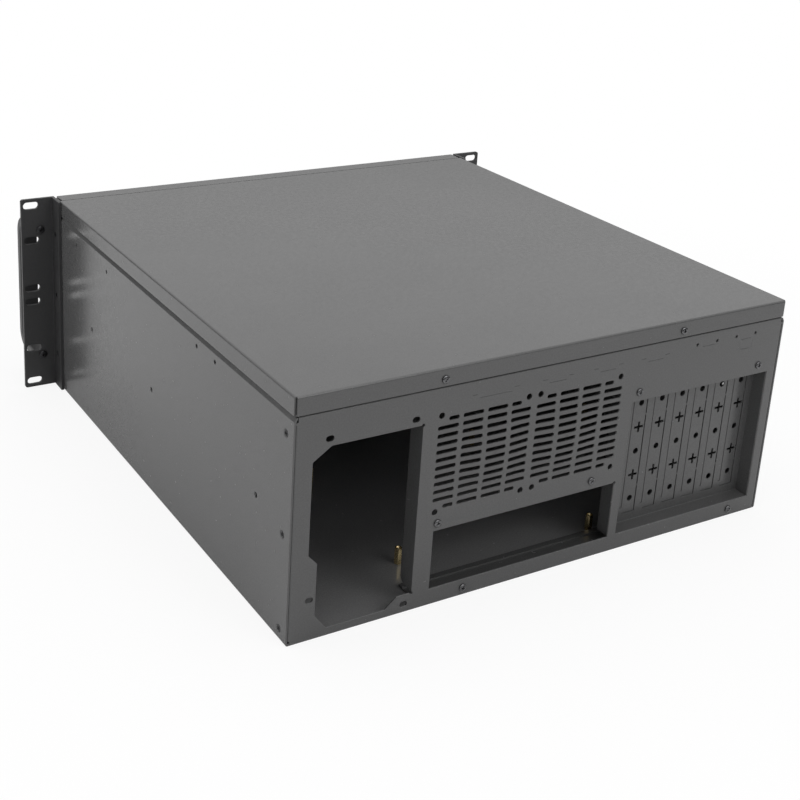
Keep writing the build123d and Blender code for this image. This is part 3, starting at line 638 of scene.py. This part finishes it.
def pan_head(screws, radius, height, shank_radius, shank_length):
    """Round head with a domed top and a driver recess, on a plain shank; its seat is at z = 0."""
    profile = ((0.97, 0), (1, 0.08), (1, 0.42), (0.96, 0.66), (0.86, 0.84), (0.68, 0.95), (0.4, 1))
    rings = shank(shank_radius, shank_length) + [circle(shank_radius, 0)]
    rings += [circle(radius * out, height * up) for out, up in profile]
    return cut_recess(rings_mesh(rings), screws, height, height * 0.8)


def flat_head(screws, radius, depth, shank_radius, length):
    """Countersunk head, flush at z = 0, with a driver recess."""
    edge = depth * 0.08
    rings = shank(shank_radius, length) + [
        circle(shank_radius, -depth),
        circle(radius * 0.98, -edge),
        circle(radius * 0.93, 0),
    ]
    return cut_recess(rings_mesh(rings), screws, 0.0, depth * 0.9)


def stud_end(screws, radius, length):
    """Headless screw, flush at z = 0, with a driver recess in its end."""
    count = 24
    rings = [
        circle(radius * 0.8, -length, count),
        circle(radius, -length + radius * 0.2, count),
        circle(radius, -radius * 0.15, count),
        circle(radius * 0.86, 0, count),
    ]
    return cut_recess(rings_mesh(rings), screws, 0.0, radius * 0.8)


def copies(name, data, places):
    """One object that holds a copy of a mesh at each matrix."""
    mesh = bmesh.new()
    for place in places:
        part = data.copy()
        part.transform(place)
        mesh.from_mesh(part)
        bpy.data.meshes.remove(part)
    return make_object(name, finished(mesh, name))


def facing(point, direction, turn=0.0):
    """Matrix that puts local z along a direction at a point, turned about it."""
    quaternion = Vector(direction).to_track_quat("Z", "Y")
    return Matrix.Translation(point) @ quaternion.to_matrix().to_4x4() @ Matrix.Rotation(turn, 4, "Z")


def outward(low, high, axis, two_sided):
    """Direction in which a screw's head points."""
    sign = 1.0
    if two_sided and (low[axis] + high[axis]) < 0:
        sign = -1.0
    direction = Vector((0.0, 0.0, 0.0))
    direction[axis] = sign
    return direction


def screw_places(node, axis, two_sided=False, below=0.0):
    """One matrix per screw of a CAD node, at the outer end of its head less a height."""
    places = []
    for number, (low, high) in enumerate(islands(node)):
        direction = outward(low, high, axis, two_sided)
        point = (low + high) / 2
        end = high[axis] if direction[axis] > 0 else low[axis]
        point[axis] = end - direction[axis] * below
        turn = math.radians(37 * number + 12)
        places.append(facing(point, direction, turn))
    if not places:
        raise RuntimeError(f"no screws found in {node}")
    return places


def settle(piece, body, node, material):
    """Let a piece stand for a CAD node, ride on its body and take its finish."""
    piece.data.materials.clear()
    piece.data.materials.append(material)
    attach(piece, body)
    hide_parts(node)


def finish_for(name, maker, *values):
    """The material of a name, made on its first use."""
    return bpy.data.materials.get(name) or maker(name, *values)


def bright_screws(screws):
    return finish_for("Plated steel", screw_metal, screws.bright_color, 0.2)


def dark_screws(screws):
    return finish_for("Blackened steel", screw_metal, screws.dark_color, 0.38)


# Operators: one for each piece or group of like pieces

class RACKCASE_OT_coat_panels(bpy.types.Operator):
    """Give the base, lid, panels, cages and bars their grey powder coat, with painted light on the
    shell's faces that look into the case.
    """

    bl_idname = "rack_case.coat_panels"
    bl_label = "Coat the panels"

    def execute(self, context):
        coat = context.scene.rack_case_coat
        look = (coat.panel_color, coat.panel_roughness, coat)
        grey = powder_coat("Grey powder coat", *look)
        # The shell's copy of the coat is painted lighter on its inner faces, as painted light
        shell_coat_lit_inside = powder_coat(SHELL_COAT_PAINTED_LIGHT, *look, inner_painted_light=coat.inner_painted_light)
        panels = nodes_with("powder_coat")
        paint([node for node in panels if node not in SHELL], grey)
        paint(SHELL, shell_coat_lit_inside)
        return {"FINISHED"}


class RACKCASE_OT_widen_grille_slots(bpy.types.Operator):
    """Open the slots of both fan grilles to their full width."""

    bl_idname = "rack_case.widen_grille_slots"
    bl_label = "Widen the grille slots"

    def execute(self, context):
        mesh = joined_mesh("rear_panel")
        count = widen_slots(mesh, context.scene.rack_case_coat.slot_width)
        if count < FEWEST_SLOTS:
            raise RuntimeError(f"only {count} grille slots were found in the rear panel")
        bmesh.ops.recalc_face_normals(mesh, faces=mesh.faces)
        piece = make_object("rear_panel_sheet", finished(mesh, "rear_panel_sheet", 25))
        settle(piece, "case", "rear_panel", bpy.data.materials[SHELL_COAT_PAINTED_LIGHT])
        return {"FINISHED"}


def widen_slots(mesh, width):
    """Stretch each narrow slot of a bmesh upright to a width, and return how many there are."""
    walls = {face for face in mesh.faces if abs(face.normal.y) < 0.3}
    count = 0
    while walls:
        stack = [walls.pop()]
        points = set()
        while stack:
            face = stack.pop()
            for vert in face.verts:
                points.add(vert)
                for other in vert.link_faces:
                    if other in walls:
                        walls.remove(other)
                        stack.append(other)
        across = max(v.co.x for v in points) - min(v.co.x for v in points)
        top = max(v.co.z for v in points)
        low = min(v.co.z for v in points)
        fits = SLOT_LENGTHS[0] < across < SLOT_LENGTHS[1]
        if fits and SLOT_HEIGHTS[0] < top - low < SLOT_HEIGHTS[1]:
            count += 1
            middle = (top + low) / 2
            for vert in points:
                vert.co.z = middle + (vert.co.z - middle) * width / (top - low)
    return count


class RACKCASE_OT_coat_ears(bpy.types.Operator):
    """Give the rack ears and handles their black powder coat."""

    bl_idname = "rack_case.coat_ears"
    bl_label = "Coat the ears and handles"

    def execute(self, context):
        coat = context.scene.rack_case_coat
        look = (coat.ear_color, coat.ear_roughness, coat)
        paint(nodes_with("ear_coat"), powder_coat("Black powder coat", *look, wear=0.15, dust=0.03))
        return {"FINISHED"}


class RACKCASE_OT_mould_front_parts(bpy.types.Operator):
    """Give the drive bay covers and both buttons their moulded plastic."""

    bl_idname = "rack_case.mould_front_parts"
    bl_label = "Finish the plastic parts"

    def execute(self, context):
        plastic = context.scene.rack_case_plastic
        bezel = moulded_plastic("Bay cover plastic", plastic.bezel_color, 0.55)
        button = moulded_plastic("Button plastic", plastic.button_color, 0.42)
        paint(nodes_with("bezel_plastic"), bezel)
        paint(nodes_with("button_plastic"), button)
        return {"FINISHED"}


class RACKCASE_OT_make_lamps(bpy.types.Operator):
    """Build the two small lamps with a domed lens."""

    bl_idname = "rack_case.make_lamps"
    bl_label = "Make the lamps"

    def execute(self, context):
        material = lamp_plastic("Lamp plastic", context.scene.rack_case_plastic.lens_color)
        for node in ("power_lamp", "drive_lamp"):
            low, high = islands(node)[0]
            data = lens_mesh(node + "_lens", (high.x - low.x) / 2, high.y - low.y)
            back = Vector(((low.x + high.x) / 2, high.y, (low.z + high.z) / 2))
            data.transform(facing(back, (0, -1, 0)))
            settle(make_object(node + "_lens", data), "case", node, material)
        return {"FINISHED"}


def lens_mesh(name, radius, length):
    """Lamp body along z, with a domed end."""
    dome = radius * 0.5
    steps = 8
    rings = [circle(radius, 0), circle(radius, length - dome)]
    for step in range(1, steps):
        angle = math.pi / 2 * step / steps
        rings.append(circle(radius * math.cos(angle), length - dome * (1 - math.sin(angle))))
    return finished(rings_mesh(rings), name)


class RACKCASE_OT_make_panel_screws(bpy.types.Operator):
    """Build the round-headed screws of the rear panel and the cages."""

    bl_idname = "rack_case.make_panel_screws"
    bl_label = "Make the panel screws"

    def execute(self, context):
        screws = context.scene.rack_case_screws
        height = screws.head_height
        head = pan_head(screws, HEAD_RADIUS, height, SHANK_RADIUS, shank_length=4 * MM)
        short = pan_head(screws, HEAD_RADIUS, height, SHANK_RADIUS, shank_length=2.2 * MM)
        for node, data, axis in (("rear_panel_screws", head, 1), ("cage_screws", short, 2)):
            places = screw_places(node, axis, below=height)
            piece = copies(node.replace("_screws", "_heads"), data, places)
            settle(piece, "case", node, bright_screws(screws))
        return {"FINISHED"}


class RACKCASE_OT_make_lid_screws(bpy.types.Operator):
    """Build the two screws that hold the lid and leave with it."""

    bl_idname = "rack_case.make_lid_screws"
    bl_label = "Make the lid screws"

    def execute(self, context):
        screws = context.scene.rack_case_screws
        height = screws.head_height
        head = pan_head(screws, HEAD_RADIUS, height, SHANK_RADIUS, shank_length=7 * MM)
        piece = copies("lid_screw_heads", head, screw_places("top_cover_screws", 1, below=height))
        settle(piece, "cover", "top_cover_screws", bright_screws(screws))
        return {"FINISHED"}


class RACKCASE_OT_make_side_screws(bpy.types.Operator):
    """Build the flush screws in the sides, the ears and the bar ends."""

    bl_idname = "rack_case.make_side_screws"
    bl_label = "Make the flush screws"

    def execute(self, context):
        screws = context.scene.rack_case_screws
        dark = dark_screws(screws)
        flat = flat_head(screws, HEAD_RADIUS, COUNTERSINK_DEPTH, SHANK_RADIUS, length=4 * MM)
        long = flat_head(screws, HEAD_RADIUS, COUNTERSINK_DEPTH, SHANK_RADIUS, length=6.5 * MM)
        stud = stud_end(screws, SHANK_RADIUS, length=4 * MM)
        for node, data in (("side_panel_screws", flat), ("ear_screws", long), ("bar_screws", stud)):
            places = screw_places(node, 0, two_sided=True)
            piece = copies(node.replace("_screws", "_flush_heads"), data, places)
            settle(piece, "case", node, dark)
        return {"FINISHED"}


class RACKCASE_OT_make_handle_screws(bpy.types.Operator):
    """Build the screws behind the ears that hold the handles."""

    bl_idname = "rack_case.make_handle_screws"
    bl_label = "Make the handle screws"

    def execute(self, context):
        screws = context.scene.rack_case_screws
        height = screws.handle_head_height
        head = pan_head(screws, HANDLE_HEAD_RADIUS, height, HANDLE_SHANK_RADIUS, shank_length=10 * MM)
        piece = copies("handle_screw_heads", head, screw_places("handle_screws", 1, below=height))
        settle(piece, "case", "handle_screws", dark_screws(screws))
        return {"FINISHED"}


class RACKCASE_OT_make_board_posts(bpy.types.Operator):
    """Build the hexagonal brass posts with their threaded bores."""

    bl_idname = "rack_case.make_board_posts"
    bl_label = "Make the board posts"

    def execute(self, context):
        screws = context.scene.rack_case_screws
        brass = finish_for("Turned brass", screw_metal, screws.brass_color, 0.26)
        places = []
        for low, high in islands("motherboard_standoffs"):
            middle = (low + high) / 2
            places.append(Matrix.Translation((middle.x, middle.y, low.z)))
        data = post_mesh(high.z - low.z, screws.thread_pitch)
        piece = copies("board_post_hexes", data, places)
        settle(piece, "case", "motherboard_standoffs", brass)
        return {"FINISHED"}


def hexagon(corner_radius, height, count):
    """Ring of points on a hexagon, with a point at each corner."""
    half_side = math.pi / 6
    ring = []
    for index in range(count):
        angle = 2 * math.pi * index / count
        within = (angle + half_side) % (2 * half_side) - half_side
        radius = corner_radius * math.cos(half_side) / math.cos(half_side - abs(within))
        ring.append((radius * math.cos(angle), radius * math.sin(angle), height))
    return ring


def post_mesh(height, pitch):
    """Hexagonal post: foot in the floor, chamfered hexagon, bore with thread turns."""
    count = 24
    corner = 2.9 * MM
    foot = 1.2 * MM
    foot_radius = 1.9 * MM
    chamfer = 0.5 * MM
    mouth = 1.75 * MM
    bore = 1.4 * MM
    thread = 1.56 * MM
    thread_start = height - 0.5 * MM
    turns = int(6 * MM / pitch)
    top = []
    for x, y, z in hexagon(corner, height, count):
        reach = math.hypot(x, y)
        limit = min(reach, corner * 0.9)
        top.append((x * limit / reach, y * limit / reach, z))
    rings = [
        circle(foot_radius, 0.05 * MM, count),
        circle(foot_radius + 0.05 * MM, foot, count),
        hexagon(corner * 0.96, foot, count),
        hexagon(corner, foot + 0.25 * MM, count),
        hexagon(corner, height - chamfer, count),
        top,
        circle(mouth, height, count),
        circle(bore + 0.05 * MM, height - 0.35 * MM, count),
    ]
    for turn in range(turns):
        z = thread_start - turn * pitch
        rings.append(circle(bore, z, count))
        rings.append(circle(thread, z - pitch / 2, count))
    rings.append(circle(bore, thread_start - turns * pitch, count))
    return finished(rings_mesh(rings), "board_post", 25)


class RACKCASE_OT_set_stage(bpy.types.Operator):
    """Set up the floor, the surroundings, the lamps and the camera."""

    bl_idname = "rack_case.set_stage"
    bl_label = "Set the stage"

    def execute(self, context):
        stage = context.scene.rack_case_stage
        make_floor(stage)
        make_surroundings(context.scene, stage)
        make_studio_lamps(stage)
        make_camera(context.scene)
        context.scene.view_settings.view_transform = "Standard"
        return {"FINISHED"}


def reflected_rays(tree, path):
    """1 for rays that a surface has mirrored or let through."""
    return add_math(tree, "MAXIMUM", path.outputs["Is Glossy Ray"], path.outputs["Is Transmission Ray"])


def make_floor(stage):
    """Pale floor with the case's shadow, which turns into the white backdrop further out.
    Distances are from the middle of the case."""
    white_from, white_to = 0.35, 0.8
    least_white = 0.87
    mirrored_from, mirrored_to = 0.27, 0.6
    room_from, room_to = 0.9, 1.3
    mesh = bmesh.new()
    bmesh.ops.create_grid(mesh, x_segments=8, y_segments=8, size=stage.floor_size / 2)
    floor = make_object("floor", finished(mesh, "floor"))
    floor.location = (0, 0, -0.2 * MM)
    material, tree, shader = new_material("Pale floor")
    place = object_place(tree)
    cloud = remap(tree, add_noise(tree, place, 3.0, 2.0, 0.5), 0.3, 0.7, 0.99, 1.0)
    tree.links.new(tinted(tree, stage.floor_color, cloud), shader.inputs["Base Color"])
    shader.inputs["Roughness"].default_value = 0.9
    shader.inputs["Specular IOR Level"].default_value = 0.0
    glow = tree.nodes.new("ShaderNodeEmission")
    glow.inputs["Color"].default_value = (1, 1, 1, 1)
    path = tree.nodes.new("ShaderNodeLightPath")
    mirrored = reflected_rays(tree, path)
    away = add_vector_math(tree, "LENGTH", place)["Value"]
    dim = remap(tree, away, room_from, room_to, 0.0, 1.0 - stage.room_shade)
    strength = add_math(tree, "SUBTRACT", 1.0, add_math(tree, "MULTIPLY", mirrored, dim))
    tree.links.new(strength, glow.inputs["Strength"])
    white = remap(tree, away, white_from, white_to, least_white, 1.0)
    seen = add_math(tree, "MULTIPLY", path.outputs["Is Camera Ray"], white)
    far = remap(tree, away, mirrored_from, mirrored_to, 0.0, 1.0)
    seen = add_math(tree, "ADD", seen, add_math(tree, "MULTIPLY", mirrored, far), clamp=True)
    join = tree.nodes.new("ShaderNodeMixShader")
    tree.links.new(seen, join.inputs["Fac"])
    tree.links.new(shader.outputs["BSDF"], join.inputs[1])
    tree.links.new(glow.outputs["Emission"], join.inputs[2])
    tree.links.new(join.outputs["Shader"], tree.nodes["Material Output"].inputs["Surface"])
    floor.data.materials.append(material)


def make_surroundings(scene, stage):
    """Even light from all round, which the camera sees as white, and reflections as a pale
    backdrop with a darker band of the room near the horizon."""
    band_middle = 0.05
    band_from, band_to = 0.14, 0.22
    world = bpy.data.worlds.new("Studio")
    scene.world = world
    world.use_nodes = True
    tree = world.node_tree
    background = tree.nodes["Background"]
    background.inputs["Color"].default_value = (1, 1, 1, 1)
    path = tree.nodes.new("ShaderNodeLightPath")
    mirrored = reflected_rays(tree, path)
    direct = add_math(tree, "MAXIMUM", path.outputs["Is Camera Ray"], mirrored)
    extra = add_math(tree, "MULTIPLY", direct, 1.0 - stage.surround)
    strength = add_math(tree, "ADD", extra, stage.surround)
    split = tree.nodes.new("ShaderNodeSeparateXYZ")
    tree.links.new(tree.nodes.new("ShaderNodeTexCoord").outputs["Generated"], split.inputs[0])
    off_band = add_math(tree, "ABSOLUTE", add_math(tree, "SUBTRACT", split.outputs["Z"], band_middle))
    dim = remap(tree, off_band, band_from, band_to, 1.0 - stage.room_shade, 0.0)
    strength = add_math(tree, "SUBTRACT", strength, add_math(tree, "MULTIPLY", mirrored, dim))
    tree.links.new(strength, background.inputs["Strength"])


def make_lamp(name, place, aim, size, power):
    """A plain rectangular lamp at a place, turned to the point that it is aimed at."""
    data = bpy.data.lights.new(name, "AREA")
    data.shape = "RECTANGLE"
    data.size = size[0]
    data.size_y = size[1]
    data.energy = power
    lamp = bpy.data.objects.new(name, data)
    bpy.context.scene.collection.objects.link(lamp)
    lamp.location = place
    lamp.rotation_euler = (Vector(aim) - Vector(place)).to_track_quat("-Z", "Y").to_euler()


def make_studio_lamps(stage):
    make_lamp("top_lamp", (0.1, 0.1, 1.7), (0, 0, 0.17), (1.6, 1.6), stage.top_power)
    make_lamp("side_lamp", (1.8, -0.8, 0.7), (0.2, 0, 0.1), (1.0, 0.8), stage.side_power)
    make_lamp("rear_lamp", (-0.5, 1.7, 1.3), (0, 0.2, 0.05), (0.9, 0.6), stage.rear_power)


def make_camera(scene):
    """Camera at the photograph's angle: its place in metres and its directions in radians, and the
    focal length and optical middle in pixels of a picture as wide as the photograph."""
    place = Vector((0.5760, 0.9009, 0.5305))
    heading = 2.5974
    down = 0.3225
    roll = 0.0530
    focal = 1360.2
    middle = (350.0, 240.0)
    picture = 800
    sensor = 36.0
    level_part = math.cos(down)
    forward = Vector((-math.sin(heading) * level_part, math.cos(heading) * level_part, -math.sin(down)))
    level = forward.cross(Vector((0, 0, 1))).normalized()
    above = level.cross(forward)
    right = level * math.cos(roll) + above * math.sin(roll)
    up = above * math.cos(roll) - level * math.sin(roll)
    data = bpy.data.cameras.new("camera")
    data.sensor_fit = "HORIZONTAL"
    data.sensor_width = sensor
    data.lens = focal / picture * sensor
    data.shift_x = (picture / 2 - middle[0]) / picture
    data.shift_y = (middle[1] - picture / 2) / picture
    data.clip_start = 0.01
    camera = bpy.data.objects.new("camera", data)
    scene.collection.objects.link(camera)
    turn = Matrix((right, up, -forward)).transposed()
    camera.matrix_world = Matrix.Translation(place) @ turn.to_4x4()
    scene.camera = camera


def nodes_with(slot):
    """The CAD nodes that the record gives a material slot."""
    parts = frame["record"]["subparts"]
    nodes = [part["node"] for part in parts if part["material_slot"] == slot]
    if not nodes:
        raise RuntimeError(f"no node has the slot {slot}")
    return nodes


class RACKCASE_PT_pieces(bpy.types.Panel):
    """Lists the steps that dress the case."""

    bl_idname = "RACKCASE_PT_pieces"
    bl_label = "Rack case"
    bl_space_type = "VIEW_3D"
    bl_region_type = "UI"
    bl_category = "Rack case"

    def draw(self, context):
        for step in STEPS:
            self.layout.operator(step.bl_idname)
        for group in (context.scene.rack_case_coat, context.scene.rack_case_screws,
                      context.scene.rack_case_plastic, context.scene.rack_case_stage):
            box = self.layout.box()
            for name in group.__annotations__:
                box.prop(group, name)


STEPS = (
    RACKCASE_OT_coat_panels,
    RACKCASE_OT_widen_grille_slots,
    RACKCASE_OT_coat_ears,
    RACKCASE_OT_mould_front_parts,
    RACKCASE_OT_make_lamps,
    RACKCASE_OT_make_panel_screws,
    RACKCASE_OT_make_lid_screws,
    RACKCASE_OT_make_side_screws,
    RACKCASE_OT_make_handle_screws,
    RACKCASE_OT_make_board_posts,
    RACKCASE_OT_set_stage,
)
GROUPS = (CoatSettings, ScrewSettings, PlasticSettings, StageSettings)


def register():
    for group in GROUPS:
        bpy.utils.register_class(group)
    bpy.types.Scene.rack_case_coat = PointerProperty(type=CoatSettings)
    bpy.types.Scene.rack_case_screws = PointerProperty(type=ScrewSettings)
    bpy.types.Scene.rack_case_plastic = PointerProperty(type=PlasticSettings)
    bpy.types.Scene.rack_case_stage = PointerProperty(type=StageSettings)
    for step in STEPS:
        bpy.utils.register_class(step)
    bpy.utils.register_class(RACKCASE_PT_pieces)


def unregister():
    bpy.utils.unregister_class(RACKCASE_PT_pieces)
    for step in reversed(STEPS):
        bpy.utils.unregister_class(step)
    del bpy.types.Scene.rack_case_stage
    del bpy.types.Scene.rack_case_plastic
    del bpy.types.Scene.rack_case_screws
    del bpy.types.Scene.rack_case_coat
    for group in reversed(GROUPS):
        bpy.utils.unregister_class(group)


def main():
    register()
    bpy.ops.rack_case.coat_panels()
    bpy.ops.rack_case.widen_grille_slots()
    bpy.ops.rack_case.coat_ears()
    bpy.ops.rack_case.mould_front_parts()
    bpy.ops.rack_case.make_lamps()
    bpy.ops.rack_case.make_panel_screws()
    bpy.ops.rack_case.make_lid_screws()
    bpy.ops.rack_case.make_side_screws()
    bpy.ops.rack_case.make_handle_screws()
    bpy.ops.rack_case.make_board_posts()
    bpy.ops.rack_case.set_stage()


if __name__ == "__main__":
    main()
